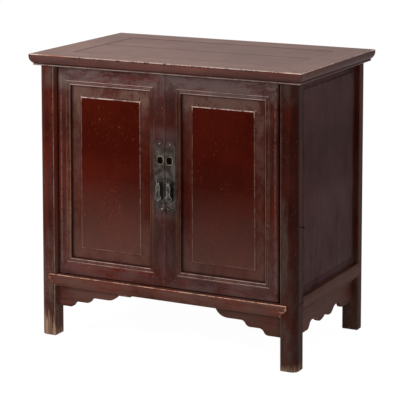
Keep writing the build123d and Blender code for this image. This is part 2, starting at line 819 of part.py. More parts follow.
def door_rail(plane, outline):
    with BuildPart() as rail:
        add(door_member(door_section(plane, door_rail_width), along_door, outline).part)
        add(door_blank.part, mode=Mode.INTERSECT)
        add(hinge_stile.part, mode=Mode.SUBTRACT)
        add(meeting_stile.part, mode=Mode.SUBTRACT)
    return rail


door_bottom_rail = door_rail(bottom_plane, mitred_outline(0, 1))
door_top_rail = door_rail(head_plane, mitred_outline(2, 3))

# Split pin: an eye in front of the plate, a shank through the stile, tips bent over behind it
shank_length = pull_standoff - eye_radius + door_thickness + wire_radius
with BuildPart() as pull_pin:
    with Locations(Location(eye_place, (0, 90, 0))):
        Torus(eye_radius, wire_radius)
    with BuildSketch(Plane.XZ.offset(-eye_place[1] - eye_radius)):
        with Locations((pull_across, pull_height)):
            Circle(wire_radius)
    extrude(amount=-shank_length)
    tip_place = (pull_across, wire_radius + metal_clearance - door_back, pull_height)
    with Locations(Location(tip_place, (0, 90, 0))):
        Cylinder(wire_radius, 2 * pin_tip_length)

# Pull: a flat drop that hangs by its loop from the pin's eye
loop_top = pull_height - eye_radius + wire_radius + loop_wire_radius + metal_clearance
drop_top = loop_top - 2 * loop_radius

with BuildPart() as pull:
    with Locations(Location((pull_across, eye_place[1], loop_top - loop_radius), (90, 0, 0))):
        Torus(loop_radius, loop_wire_radius)
    with BuildSketch(Plane((pull_across, eye_place[1], drop_top), (1, 0, 0), (0, -1, 0))):
        with BuildLine():
            flare = (pull_width / 2, -pull_flare_drop)
            cusp = (pull_centre_lobe / 2, pull_lobe_depth - pull_length)
            Line((0, 0), (pull_neck / 2, 0))
            Spline((pull_neck / 2, 0), (pull_shoulder_width / 2, -pull_shoulder_drop),
                   (pull_waist_width / 2, -pull_waist_drop), flare)
            TangentArc(flare, cusp, tangent=(0, -1))
            TangentArc((0, -pull_length), cusp, tangent=(1, 0))
            mirror(about=Plane.YZ)
        make_face()
    extrude(amount=pull_thickness / 2, both=True)

# ---------------------------------------------------------------- export

export(top_frame_front, "top_frame_front")
export(top_frame_back, "top_frame_back")
export_pair(top_frame_side, "top_frame_side")
export(front_top_board, "front_top_board")
export(back_top_board, "back_top_board")
export(top_battens, "top_battens")
export_pair(front_leg, "front_leg")
export_pair(back_leg, "back_leg")
export(front_rail, "front_rail")
export(back_rail, "back_rail")
export_pair(side_rail, "side_rail")
export_pair(side_panel, "side_panel")
export_pair(side_apron, "side_apron")
export_pair(bracket, "front_bracket")
export_pair(back_panel, "back_panel")
export(back_muntin, "back_muntin")
export_pair(shelf_bearer, "shelf_bearer")
for number, floor_board in enumerate(floor_boards, start=1):
    export(floor_board, f"floor_board_{number}")
for number, shelf_board in enumerate(shelf_boards, start=1):
    export(shelf_board, f"shelf_board_{number}")
export_pair(hinge_stile, "door_hinge_stile")
export_pair(meeting_stile, "door_meeting_stile")
export_pair(door_top_rail, "door_top_rail")
export_pair(door_bottom_rail, "door_bottom_rail")
export_pair(door_panel, "door_panel")
export_pair(door_battens, "door_battens")
export_pair(lock_plate, "lock_plate")
export_pair(plate_nails, "lock_plate_nails")
export_pair(pull_pin, "pull_pin")
export_pair(pull, "pull")
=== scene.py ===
import json
import math

import bmesh
import bpy
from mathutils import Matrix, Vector, bvhtree, noise

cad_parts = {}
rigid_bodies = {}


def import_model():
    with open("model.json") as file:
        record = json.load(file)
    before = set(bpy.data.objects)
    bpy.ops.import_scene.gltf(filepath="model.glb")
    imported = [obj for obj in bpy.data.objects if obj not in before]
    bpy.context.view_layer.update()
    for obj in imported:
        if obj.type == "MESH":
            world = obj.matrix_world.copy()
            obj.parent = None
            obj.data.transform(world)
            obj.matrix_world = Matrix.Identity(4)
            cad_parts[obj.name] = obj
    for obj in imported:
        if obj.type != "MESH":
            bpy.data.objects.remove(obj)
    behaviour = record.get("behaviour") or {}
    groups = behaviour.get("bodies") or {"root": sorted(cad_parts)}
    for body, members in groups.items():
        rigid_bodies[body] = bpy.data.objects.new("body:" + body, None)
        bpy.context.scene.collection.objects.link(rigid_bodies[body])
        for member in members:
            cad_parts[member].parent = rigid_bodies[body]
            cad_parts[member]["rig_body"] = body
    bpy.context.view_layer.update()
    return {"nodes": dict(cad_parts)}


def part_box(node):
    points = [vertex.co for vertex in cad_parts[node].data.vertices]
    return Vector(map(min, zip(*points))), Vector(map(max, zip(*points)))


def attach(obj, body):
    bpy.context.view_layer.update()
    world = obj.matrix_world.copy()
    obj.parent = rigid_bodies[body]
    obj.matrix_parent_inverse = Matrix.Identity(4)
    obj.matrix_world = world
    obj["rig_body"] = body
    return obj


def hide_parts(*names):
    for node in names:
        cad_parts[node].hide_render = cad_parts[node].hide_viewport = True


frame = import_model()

nodes = frame["nodes"]


# ---------------------------------------------------------------------------
# Legs. Four posts of solid elm that lean in towards the top, rounded on the
# outer corner, with a thin bead at each arris. They are lacquered red-brown
# over a ground coat, and rubbed down to the wood at the feet.
# ---------------------------------------------------------------------------
def paint(red, green, blue):
    """A paint-shop colour (0 to 255) as the renderer's linear colour."""
    linear = []
    for value in (red, green, blue):
        share = value / 255
        linear.append(share / 12.92 if value <= 10 else ((share + 0.055) / 1.055) ** 2.4)
    return (*linear, 1.0)


def add_node(tree, kind, inputs=None, **settings):
    """A new node, whose inputs take values or other nodes' outputs."""
    node = tree.nodes.new(kind)
    for key, value in settings.items():
        setattr(node, key, value)
    for key, value in (inputs or {}).items():
        if isinstance(value, bpy.types.NodeSocket):
            tree.links.new(value, node.inputs[key])
        else:
            node.inputs[key].default_value = value
    return node


class Finish:
    """A coat being mixed: a material and short ways to add and join its nodes."""

    def __init__(self, name):
        self.material = bpy.data.materials.new(name)
        self.material.use_nodes = True
        self.tree = self.material.node_tree
        self.shader = self.tree.nodes["Principled BSDF"]
        self.place = self.add("ShaderNodeTexCoord").outputs["Object"]
        axes = self.add("ShaderNodeSeparateXYZ", {0: self.place}).outputs
        self.across, self.depth, self.height = axes["X"], axes["Y"], axes["Z"]
        self.from_middle = self.size(self.across)  # to the left or the right
        self.from_centre = self.size(self.depth)  # to the front or the back
        self.right = self.step(self.across, -0.1, 0.1)  # 1 on the right half
        self.grain = self.attribute("grain").outputs["Vector"]
        self.worn = self.attribute("worn").outputs["Fac"]
        self.grime_and_shade = self.attribute("grime_and_shade").outputs["Fac"]
        # each piece's darkening: its own tone, and painted shade on the right-hand pieces
        self.shade = self.attribute("shade").outputs["Fac"]

    def add(self, kind, inputs=None, **settings):
        return add_node(self.tree, kind, inputs, **settings)

    def attribute(self, name):
        return self.add("ShaderNodeAttribute", attribute_name=name)

    def maths(self, operation, a, b=0.0, c=0.0):
        return self.add("ShaderNodeMath", {0: a, 1: b, 2: c}, operation=operation).outputs[0]

    def size(self, value):
        return self.maths("ABSOLUTE", value)

    def minus(self, a, b):
        return self.maths("SUBTRACT", a, b)

    def above(self, value, limit):
        return self.maths("GREATER_THAN", value, limit)

    def below(self, value, limit):
        return self.maths("LESS_THAN", value, limit)

    def scaled(self, value, factor, plus):
        return self.maths("MULTIPLY_ADD", value, factor, plus)

    def product(self, *values):
        result = values[0]
        for value in values[1:]:
            result = self.maths("MULTIPLY", result, value)
        return result

    def most(self, *values):
        result = values[0]
        for value in values[1:]:
            result = self.maths("MAXIMUM", result, value)
        return result

    def between(self, share, low, high):
        """From low to high as the share goes from 0 to 1."""
        return self.scaled(share, self.minus(high, low), low)

    def step(self, value, start, end):
        """0 up to start and 1 from end, with a soft change between; either may be the larger."""
        return self.add(
            "ShaderNodeMapRange",
            {"Value": value, "From Min": start, "From Max": end},
            interpolation_type="SMOOTHSTEP",
        ).outputs[0]

    def near(self, value, place, outer, inner):
        """1 where the value is within inner of a place, softly down to 0 at outer."""
        return self.step(self.size(self.minus(value, place)), outer, inner)

    def mottle(
        self, where, size, stretch=(1, 1, 1), detail=3.0, rough=0.55, low=0.36, high=0.64, turn=(0, 0, 0)
    ):
        """Cloudy variation from 0 to 1; size is cells per metre."""
        laid = self.add("ShaderNodeMapping", {"Vector": where, "Scale": stretch, "Rotation": turn})
        cloud = self.add(
            "ShaderNodeTexNoise",
            {"Vector": laid.outputs[0], "Scale": size, "Detail": detail, "Roughness": rough},
        )
        return self.step(cloud.outputs["Fac"], low, high)

    def chips(self, stretch, share, radius):
        """Small chips along the grain: one in some of the cells."""
        laid = self.add("ShaderNodeMapping", {"Vector": self.grain, "Scale": stretch})
        cells = self.add("ShaderNodeTexVoronoi", {"Vector": laid.outputs[0], "Scale": 1})
        drawn = self.add("ShaderNodeSeparateColor", {0: cells.outputs["Color"]}).outputs[0]
        chip = self.step(cells.outputs["Distance"], radius, radius * 0.6)
        return self.product(self.above(drawn, 1 - share), chip)

    def blend(self, share, under, over):
        mix = self.add("ShaderNodeMix", {0: share, 6: under, 7: over}, data_type="RGBA")
        return mix.outputs[2]

    def level(self, heights):
        """A value that changes with height above the floor: (metres, value) pairs."""
        curve = self.add("ShaderNodeValToRGB", {0: self.height})
        points = curve.color_ramp.elements
        while len(points) < len(heights):
            points.new(0.5)
        for point, (metres, value) in zip(points, heights):
            point.position = metres
            point.color = (value, value, value, 1)
        return curve.outputs[0]

    def done(self, colour, roughness, bump, strength, distance, **fixed):
        """The finished material: each piece's shade value darkens it, as tone that differs between boards
        and as painted shade on the right-hand pieces, and the bump raises it.
        """
        shaded = self.add("ShaderNodeVectorMath", {0: colour, "Scale": self.shade}, operation="SCALE")
        raised = self.add("ShaderNodeBump", {"Height": bump, "Strength": strength, "Distance": distance})
        self.tree.links.new(shaded.outputs[0], self.shader.inputs["Base Color"])
        self.tree.links.new(roughness, self.shader.inputs["Roughness"])
        self.tree.links.new(raised.outputs[0], self.shader.inputs["Normal"])
        for socket, value in fixed.items():
            self.shader.inputs[socket.replace("_", " ")].default_value = value
        return self.material


def lost_specks(coat):
    """Small flakes and scratches, which come in crowds."""
    crowded = coat.mottle(coat.place, 8, detail=2, low=0.42, high=0.6)
    small = coat.chips((150, 210, 210), 0.2, 0.2)
    flakes = coat.chips((60, 110, 110), 0.06, 0.17)
    scratch = coat.mottle(
        coat.place, 1, (330, 330, 80), detail=2, low=0.68, high=0.72, turn=(0.3, 0.5, 0.2)
    )
    return coat.product(coat.most(small, flakes, coat.product(scratch, 0.5)), crowded)


def lacquer(
    name, deep, warm, film_and_reflection, rubbed, ground, film_and_reflection_share, gloss=0.34, shine=0.02, grained=0.5, flecks=0.8,
    run=(12, 40, 40), rub=((0.0, 1.0), (1.0, 1.0)), patchy=1.0, kept=None, moulded=None, bare=None,
):
    """Old red-brown lacquer: cloudy, streaked along the grain, dulled by a grey film that is partly a
    painted reflection, rubbed through at the edges and flecked. filmed gives the strength of the film
    and painted reflection, patchy how uneven it is, rub how rubbed the edges are by height, kept where
    the red is brighter: unfaded, and on the legs' returns partly painted light. moulded gives the crests
    of the mouldings, rubbed and partly a painted highlight, and their hollows, darkened by dirt and
    painted shade, and bare where the wood shows."""
    coat = Finish(name)
    cloud = coat.mottle(coat.place, 7, detail=4)
    streak = coat.mottle(coat.grain, 1, (3, 90, 90), detail=4, rough=0.6)
    fibre = coat.mottle(coat.grain, 1, (14, 420, 420), rough=0.6)
    colour = coat.blend(coat.between(grained, cloud, streak), paint(*deep), paint(*warm))
    if kept:
        # a brighter red: unfaded lacquer, and on the legs' returns partly painted light
        bright_red = coat.blend(streak, paint(86, 30, 21), paint(104, 40, 29))
        colour = coat.blend(kept(coat), colour, bright_red)

    patch = coat.mottle(coat.grain, 1, run, detail=8, rough=0.75, low=0.44, high=0.56)
    broad = coat.mottle(coat.place, 5, detail=5, rough=0.65, low=0.38, high=0.62)
    uneven = coat.scaled(patch, 0.55, coat.scaled(broad, 0.6, 0.1))
    unevenness = patchy(coat) if callable(patchy) else patchy
    # the grey film: partly a painted reflection of the pale floor, and on the top painted light from above
    dull_and_reflecting = coat.product(film_and_reflection_share(coat), coat.between(unevenness, 0.75, uneven))
    colour = coat.blend(dull_and_reflecting, colour, paint(*film_and_reflection))

    dirt_and_shade = coat.grime_and_shade
    if moulded:
        crest, hollow, crest_colour = moulded(coat)
        dirt_and_shade = coat.most(dirt_and_shade, hollow)
        # crests: rubbing, and on the reeds and the top's bead a painted highlight and reflection
        colour = coat.blend(crest, colour, crest_colour)
    # dark brown: dirt in the joints, and painted shade in hollows, quirks and gaps
    colour = coat.blend(coat.product(dirt_and_shade, 0.85), colour, paint(16, 7, 5))

    broken = coat.mottle(coat.grain, 1, (55, 28, 28), detail=6, rough=0.75, low=0.42, high=0.56)
    edge = coat.product(coat.worn, coat.scaled(broken, 0.75, 0.2), coat.level(rub))
    to_ground = coat.mottle(coat.place, 8, detail=2, low=0.58, high=0.67)
    colour = coat.blend(edge, colour, coat.blend(to_ground, paint(*rubbed), paint(*ground)))
    specks = lost_specks(coat)
    colour = coat.blend(coat.product(specks, flecks), colour, paint(*ground))
    lost = coat.most(edge, specks)
    if bare:
        wood = bare(coat)
        elm = coat.blend(streak, paint(104, 78, 62), paint(160, 128, 106))
        colour = coat.blend(wood, colour, elm)
        lost = coat.most(lost, wood)

    roughness = coat.scaled(lost, 0.3, coat.scaled(dull_and_reflecting, 0.2, gloss))
    bump = coat.scaled(fibre, 0.25 * grained, coat.product(cloud, 0.8))
    bump = coat.minus(bump, coat.product(lost, 0.7))
    return coat.done(colour, roughness, bump, 0.35, 0.0006, Specular_IOR_Level=shine)


bench = {
    name: bvhtree.BVHTree.FromPolygons(
        [vert.co for vert in node.data.vertices], [face.vertices for face in node.data.polygons]
    )
    for name, node in nodes.items()
}
bench_boxes = {name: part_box(name) for name in nodes}

flat_turn = math.radians(0.4)  # edges that turn less than this aren't there on the real board
sharp_turn = math.radians(28)  # edges that turn more are arrises
smooth_turn = math.radians(40)  # edges that turn less look smooth
eased_mark, joint_mark = 1, 2  # what a face of a bevel belongs to


def neighbours(name):
    """The search trees of the pieces whose boxes come within a millimetre of this one's."""
    reach = 0.001
    low, high = bench_boxes[name]
    near = []
    for other, tree in bench.items():
        other_low, other_high = bench_boxes[other]
        meets = all(other_low[i] < high[i] + reach and other_high[i] > low[i] - reach for i in range(3))
        if other != name and meets:
            near.append(tree)
    return near


def mark_off(shape, axis, low, high, step):
    """Cuts across the grain at uneven steps, so that the arrises can wander."""
    normal = Vector([float(i == axis) for i in range(3)])
    place = low[axis] + step * 0.7
    while place < high[axis] - step * 0.4:
        everything = shape.verts[:] + shape.edges[:] + shape.faces[:]
        bmesh.ops.bisect_plane(
            shape, geom=everything, dist=1e-6, plane_co=normal * place, plane_no=normal
        )
        place += step * (1 + 0.3 * noise.noise(Vector((place * 90, low[0] * 7, 3))))


def find_arrises(shape, near, touch):
    """The arrises that are free, and those that lie against another piece."""
    free, joined = [], []
    for edge in shape.edges:
        if len(edge.link_faces) != 2 or not edge.is_convex or edge.calc_face_angle(0) < sharp_turn:
            continue
        middle = (edge.verts[0].co + edge.verts[1].co) / 2
        touching = any(tree.find_nearest(middle, touch)[0] for tree in near)
        (joined if touching else free).append(edge)
    return free, joined


def unsettle(free, wander):
    """Draws the free arrises in by uneven amounts, at most one and a half times wander."""
    for vert in {vert for edge in free for vert in edge.verts}:
        if all(edge in free or edge.calc_face_angle(0) < sharp_turn for edge in vert.link_edges):
            slow = noise.noise(vert.co * 55)
            quick = max(0, noise.noise(vert.co * 160))
            vert.co -= vert.normal * max(0, wander * (0.5 + 0.5 * slow + 0.5 * quick))


def ease(shape, rim, edges, width, segments, mark):
    """Takes the sharpness off some edges, and marks the faces that this makes."""
    kept = [edge for edge in edges if edge.is_valid]
    eased = bmesh.ops.bevel(
        shape, geom=kept, offset=width, segments=segments, profile=0.5, affect="EDGES",
        clamp_overlap=False, loop_slide=True,
    )
    for face in eased["faces"]:
        face[rim] = mark


def bends(shape):
    """How tightly the surface bends outwards at each corner: 1 over the radius in metres."""
    shortest = 0.0002
    tightest = {}
    for vert in shape.verts:
        tightest[vert] = 0
        for edge in vert.link_edges:
            other = edge.other_vert(vert)
            line = vert.co - other.co
            if edge.calc_length() > shortest:
                bend = (vert.normal - other.normal).dot(line) / line.length_squared
                tightest[vert] = max(tightest[vert], bend)
    return tightest


def wear_dirt_and_shade(shape, rim, rubbing, rounds, shade_box):
    """For each face's corners, how rubbed and how dark they are: eased arrises are rubbed, and
    so are narrow faces on tight mouldings, while joints hold dirt and shade boxes hold painted shade."""
    narrow_face = 0.0016  # only the faces of mouldings are narrower
    easy_bend, tight_bend = 180, 280  # radii of 5.6 and 3.6 mm
    aslant, straight_out = 0.95, 0.995  # how squarely a crest faces outwards
    tightest = bends(shape)
    wear, dirt_and_shade = [], []
    for face in shape.faces:
        narrow = face.calc_area() / max(edge.calc_length() for edge in face.edges) < narrow_face
        for corner in face.loops:
            vert = corner.vert
            rubbed = darkened = 0.0
            if face[rim] == eased_mark:
                rubbed = 1.0 if all(f[rim] == eased_mark for f in vert.link_faces) else 0.35
            elif face[rim] == joint_mark:
                darkened = 0.8
            elif narrow:
                crest = 1.0 if rounds else max(abs(c) for c in vert.normal)
                bent = (tightest[vert] - easy_bend) / (tight_bend - easy_bend)
                square = (crest - aslant) / (straight_out - aslant)
                rubbed = 0.8 * min(1, max(0, bent)) * min(1, max(0, square))
            # painted shade: every corner inside the box is darkened and not rubbed
            if shade_box and all(shade_box[0][i] < vert.co[i] < shade_box[1][i] for i in range(3)):
                rubbed, darkened = 0.0, 1.0
            wear.append(rubbed * rubbing)
            dirt_and_shade.append(darkened)
    return wear, dirt_and_shade


def set_out(name, data):
    """A new object in the scene, at the origin."""
    thing = bpy.data.objects.new(name, data)
    bpy.context.scene.collection.objects.link(thing)
    return thing


def settle(piece):
    """Works a piece's modifiers into a plain mesh."""
    mesh = bpy.data.meshes.new_from_object(piece.evaluated_get(bpy.context.evaluated_depsgraph_get()))
    piece.modifiers.clear()
    piece.data = mesh


def dress(
    name, finish, grain, shade=1.0, arris=0.0012, joint=0.0003, wander=0.0003, step=0.018,
    touch=0.0004, rubbing=1.0, rounds=False, shade_box=None,
):
    """A board as it comes from the bench: flat faces joined, free arrises eased and slightly
    uneven, joints left as fine dark lines. grain is the axis that it runs along."""
    low, high = bench_boxes[name]
    axis = "XYZ".index(grain)
    shape = bmesh.new()
    shape.from_mesh(nodes[name].data)
    rim = shape.faces.layers.int.new("rim")
    bmesh.ops.remove_doubles(shape, verts=shape.verts, dist=2e-5)
    bmesh.ops.dissolve_limit(shape, angle_limit=flat_turn, verts=shape.verts, edges=shape.edges)
    mark_off(shape, axis, low, high, step)
    shape.normal_update()
    free, joined = find_arrises(shape, neighbours(name), touch)
    unsettle(free, wander)
    ease(shape, rim, free, arris, 2, eased_mark)
    if joint:
        ease(shape, rim, joined, joint, 1, joint_mark)
    bmesh.ops.dissolve_degenerate(shape, dist=1e-5, edges=shape.edges)
    shape.normal_update()
    for edge in shape.edges:
        edge.smooth = edge.calc_face_angle(0) < smooth_turn
    for face in shape.faces:
        face.smooth = True
    wear, dirt_and_shade = wear_dirt_and_shade(shape, rim, rubbing, rounds, shade_box)

    mesh = bpy.data.meshes.new(name + "_dressed")
    shape.to_mesh(mesh)
    shape.free()
    shift = 0.37 * (sorted(nodes).index(name) + 1)  # no two boards are cut from one place
    wide, thick = [i for i in range(3) if i != axis]
    rows = [(v.co[axis] + shift, v.co[wide] + shift, v.co[thick] - shift) for v in mesh.vertices]
    layer = mesh.attributes.new("grain", "FLOAT_VECTOR", "POINT")
    layer.data.foreach_set("vector", [value for row in rows for value in row])
    for title, values in (("worn", wear), ("grime_and_shade", dirt_and_shade), ("shade", [shade] * len(wear))):
        mesh.attributes.new(title, "FLOAT", "CORNER").data.foreach_set("value", values)
    piece = set_out(name + "_dressed", mesh)
    even = piece.modifiers.new("even", "WEIGHTED_NORMAL")
    even.keep_sharp = True
    settle(piece)
    piece.data.materials.clear()
    piece.data.materials.append(finish)
    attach(piece, nodes[name]["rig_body"])
    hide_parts(name)


top_low, top_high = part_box("top_frame_front")
leg_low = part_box("right_front_leg")[0]
leg_face = -leg_low.y  # from the centre to the legs' front and back faces
leg_lean = 0.01175  # how far a leg leans in per metre of height
leg_inside = leg_low.x + leg_lean * top_low.z  # its inner face, at the floor
bead_crown = 0.0027  # the front bead's crown and quirk, outwards from that face
bead_quirk = 0.0064
side_quirk = 0.2207  # the side bead's quirk, from the centre


def from_return(coat):
    """Distance outwards from a leg's inner face."""
    return coat.minus(coat.scaled(coat.height, leg_lean, coat.from_middle), leg_inside)


def sheltered_and_lit(coat):
    """The narrow returns beside the doors, in a brighter red: unfaded, and partly painted light on faces in
    shade.
    """
    on_return = coat.step(from_return(coat), 0.0006, 0.0002)
    in_front = coat.step(coat.depth, -0.2, -0.22)
    over_rail = coat.step(coat.height, 0.19, 0.22)
    return coat.product(on_return, in_front, over_rail)


def leg_beads(coat):
    """The thin bead at each arris: its crown is rubbed, and the quirk behind it is darkened.
    The right front leg has painted shade towards its outer side, to make it read round."""
    outwards = from_return(coat)
    on_face = coat.step(coat.from_centre, leg_face - 0.01, leg_face - 0.0075)
    on_side = coat.step(outwards, 0.038, 0.042)
    front_quirk = coat.product(on_face, coat.near(outwards, bead_quirk, 0.0017, 0.0006))
    back_quirk = coat.product(on_side, coat.near(coat.from_centre, side_quirk, 0.0014, 0.0006), 0.7)
    lasting = coat.mottle(coat.grain, 1, (14, 5, 5), detail=5, rough=0.75, low=0.4, high=0.56)
    crown = coat.product(
        on_face, coat.near(outwards, bead_crown, 0.0018, 0.0006),
        coat.between(lasting, 0.1, 0.42), coat.between(coat.right, 1.0, 0.5),
    )
    in_front = coat.step(coat.depth, -0.1, -0.2)
    # painted shade, darker towards the right front leg's outer side
    painted_dark_side = coat.product(coat.right, in_front, coat.step(outwards, 0.02, 0.044), 0.4)
    return crown, coat.most(front_quirk, back_quirk, painted_dark_side), paint(158, 132, 118)


def foot_wear(coat):
    """Bare wood at the foot: most at the front left, hardly any at the back."""
    ragged = coat.mottle(coat.grain, 1, (7, 150, 150), detail=6, rough=0.75, low=0.3, high=0.7)
    behind = coat.step(coat.depth, -0.1, 0.1)
    outer = coat.between(coat.step(from_return(coat), 0.001, 0.006), 0.35, 1.0)
    reach = coat.product(
        coat.between(coat.right, 1.0, 0.3), coat.between(behind, 1.0, 0.25), outer,
        coat.scaled(ragged, 0.085, 0.014),
    )
    return coat.step(coat.minus(reach, coat.height), -0.004, 0.012)


def leg_film_and_reflection(coat):
    """Dull film and painted reflection: low down, under the top, and a long rubbed patch on the right front
    leg.
    """
    flat = coat.step(from_return(coat), 0.031, 0.022)
    in_front = coat.step(coat.depth, -0.25, -0.26)
    on_right = coat.step(coat.across, 0, 0.1)
    patch = coat.product(flat, in_front, on_right, coat.step(coat.height, 0.55, 0.48))
    forward = coat.step(coat.depth, 0.1, -0.1)
    heads = coat.product(coat.step(coat.height, 0.76, 0.82), coat.between(forward, 0.3, 0.9))
    return coat.most(coat.level([(0.0, 0.95), (0.2, 0.9), (0.34, 0.35), (0.6, 0.1)]), patch, heads)


leg_lacquer = lacquer(
    "leg_lacquer", deep=(50, 9, 4), warm=(88, 28, 16), film_and_reflection=(90, 70, 63),
    rubbed=(132, 104, 90), ground=(156, 102, 74), rub=((0.0, 0.3), (1.0, 0.3)),
    film_and_reflection_share=leg_film_and_reflection, patchy=0.8, kept=sheltered_and_lit, moulded=leg_beads, bare=foot_wear,
)
# The right legs are darkened: painted shade, as the light comes from the left.
for side, shade in (("left", 1.0), ("right", 0.57)):
    dress(f"{side}_front_leg", leg_lacquer, "Z", shade)
    dress(f"{side}_back_leg", leg_lacquer, "Z", shade)


# ---------------------------------------------------------------------------
# Front rail, side rails, corner brackets and side aprons. Elm, tenoned and
# tongued into the legs, with bulging or beaded faces. Their upper arrises are
# rubbed pale by hands, cloths and knees.
# ---------------------------------------------------------------------------
rail_lacquer = lacquer(
    "rail_lacquer", deep=(60, 22, 16), warm=(104, 50, 42), film_and_reflection=(92, 68, 60),
    rubbed=(208, 158, 134), ground=(192, 108, 72), flecks=0.4, rub=((0.0, 1.0), (0.15, 1.0), (0.19, 1.7)),
    # dull film and painted reflection of the pale floor, by height
    film_and_reflection_share=lambda coat: coat.level([(0.0, 0.6), (0.3, 0.6), (0.6, 0.3), (0.9, 0.6)]),
)
dress("front_rail", rail_lacquer, "X", arris=0.0022, rounds=True)
# The right-hand rails, aprons and brackets are darkened: painted shade, as the light comes from the left.
for side, rail_shade, apron_shade, bracket_shade in (("left", 0.86, 1.0, 1.0), ("right", 0.688, 0.8, 0.72)):
    dress(f"{side}_side_rail", rail_lacquer, "Y", rail_shade, rubbing=0.12)
    dress(f"{side}_side_apron", rail_lacquer, "Y", apron_shade, rubbing=0.3)
    dress(f"{side}_front_bracket", rail_lacquer, "X", bracket_shade, rubbing=0.2)


# ---------------------------------------------------------------------------
# Side panels. Vertical boards with a low raised field, held in grooves, in a
# thinner and greyer lacquer than the front, its grey partly a painted reflection.
# ---------------------------------------------------------------------------
def side_film_and_reflection(coat):
    """Dull film and painted reflection low down and near the top, with a clear band between."""
    return coat.level([(0.0, 0.9), (0.48, 0.55), (0.53, 0.0), (0.62, 0.0), (0.8, 0.5), (0.86, 0.7)])


side_lacquer = lacquer(
    "side_lacquer", deep=(46, 22, 21), warm=(63, 33, 32), film_and_reflection=(76, 56, 57),
    rubbed=(100, 70, 64), ground=(110, 70, 60), shine=0.01, grained=0.35, flecks=0.3,
    rub=((0.0, 0.4), (1.0, 0.4)), film_and_reflection_share=side_film_and_reflection,
)
for side in ("left", "right"):
    dress(f"{side}_side_panel", side_lacquer, "Z")


# ---------------------------------------------------------------------------
# Back, floor, shelf and the other boards that nobody sees. Plain planed elm
# and softwood, never lacquered, browned by age.
# ---------------------------------------------------------------------------
def raw_wood(name, dark, pale):
    coat = Finish(name)
    cloud = coat.mottle(coat.place, 6)
    streak = coat.mottle(coat.grain, 1, (2.5, 70, 70), detail=5, rough=0.65)
    fibre = coat.mottle(coat.grain, 1, (10, 500, 500), detail=4, rough=0.65)
    tone = coat.scaled(streak, 0.6, coat.product(cloud, 0.4))
    colour = coat.blend(tone, paint(*dark), paint(*pale))
    colour = coat.blend(coat.product(fibre, 0.25), colour, paint(*dark))
    colour = coat.blend(coat.product(coat.grime_and_shade, 0.6), colour, paint(40, 28, 20))
    bump = coat.scaled(fibre, 0.5, coat.product(streak, 0.5))
    return coat.done(colour, coat.scaled(streak, 0.15, 0.68), bump, 0.5, 0.0007, Specular_IOR_Level=0.3)


aged_wood = raw_wood("aged_wood", (104, 74, 52), (158, 122, 88))
for name in ["back_muntin", "left_back_panel", "right_back_panel"]:
    dress(name, aged_wood, "Z")
dress("back_rail", aged_wood, "X")
dress("top_battens", aged_wood, "Y")
for number in range(1, 4):
    dress(f"shelf_board_{number}", aged_wood, "X")
for number in range(1, 5):
    dress(f"floor_board_{number}", aged_wood, "Y")
for side in ("left", "right"):
    dress(f"{side}_shelf_bearer", aged_wood, "Y")


# ---------------------------------------------------------------------------
# Top. Two floating boards in a mitred frame with a moulded edge. The lacquer
# is worn to a grey-brown film on the upper side, made paler by painted light
# from above, and chipped along the arris.
# ---------------------------------------------------------------------------
half_width = top_high.x
half_depth = -top_low.y
opening_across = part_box("right_top_frame_side")[0].x  # from the middle to the frame's members
opening_deep = -top_high.y
seam_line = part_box("front_top_board")[1].y
thin_bead = top_low.z + 0.0024  # the heights of the bead's crown and of the quirk over it
quirk = top_low.z + 0.0072


def below_top(coat):
    """How far a place is below the upper side."""
    return coat.minus(top_high.z, coat.height)


def top_rim(coat, wide, narrow):
    """The outermost strip all round: 0 at the wide distance from the edge, 1 at the narrow one."""
    across = coat.step(coat.from_middle, half_width - wide, half_width - narrow)
    deep = coat.step(coat.from_centre, half_depth - wide, half_depth - narrow)
    return coat.most(across, deep)


def top_seams(coat):
    """Dirt in the seam between the boards, along the frame and in its mitres."""
    aside = coat.minus(coat.from_middle, opening_across)
    behind = coat.minus(coat.from_centre, opening_deep)
    seam = coat.product(
        coat.near(coat.depth, seam_line, 0.006, 0.0006), coat.step(aside, 0.0, -0.001), 0.95
    )
    ends = coat.product(coat.near(aside, 0.0, 0.0024, 0.0004), coat.step(behind, 0.001, 0.0), 0.8)
    long = coat.product(coat.near(behind, 0.0, 0.005, 0.0006), coat.step(aside, 0.001, 0.0), 0.6)
    mitre = coat.product(coat.near(aside, behind, 0.0028, 0.0004), coat.step(aside, -0.001, 0.0), 0.5)
    on_top = coat.step(below_top(coat), 0.0018, 0.001)
    drawn = coat.mottle(coat.place, 14, detail=4, rough=0.7, low=0.3, high=0.56)
    return coat.product(on_top, coat.most(seam, ends, long, mitre), coat.between(drawn, 0.6, 1.0))


def top_shadows(coat):
    """Painted shade on the edge at each side, on the right arris and at the front edge's right end."""
    down = below_top(coat)
    side_edge = coat.step(coat.from_middle, half_width - 0.0128, half_width - 0.0116)
    behind_front = coat.step(coat.depth, -0.262, -0.258)
    sides = coat.product(side_edge, coat.step(down, 0.0014, 0.004), behind_front, 0.4)
    arris = coat.step(coat.across, half_width - 0.0038, half_width - 0.0022)
    behind_corner = coat.step(coat.depth, -0.2805, -0.276)
    right_arris = coat.product(arris, coat.step(down, 0.0035, 0.002), behind_corner, 0.5)
    front_edge = coat.product(coat.step(coat.depth, -0.262, -0.268), coat.step(down, 0.0018, 0.0032))
    right_end = coat.product(front_edge, coat.step(coat.across, 0.08, 0.32), 0.34)
    return coat.most(sides, right_arris, right_end)


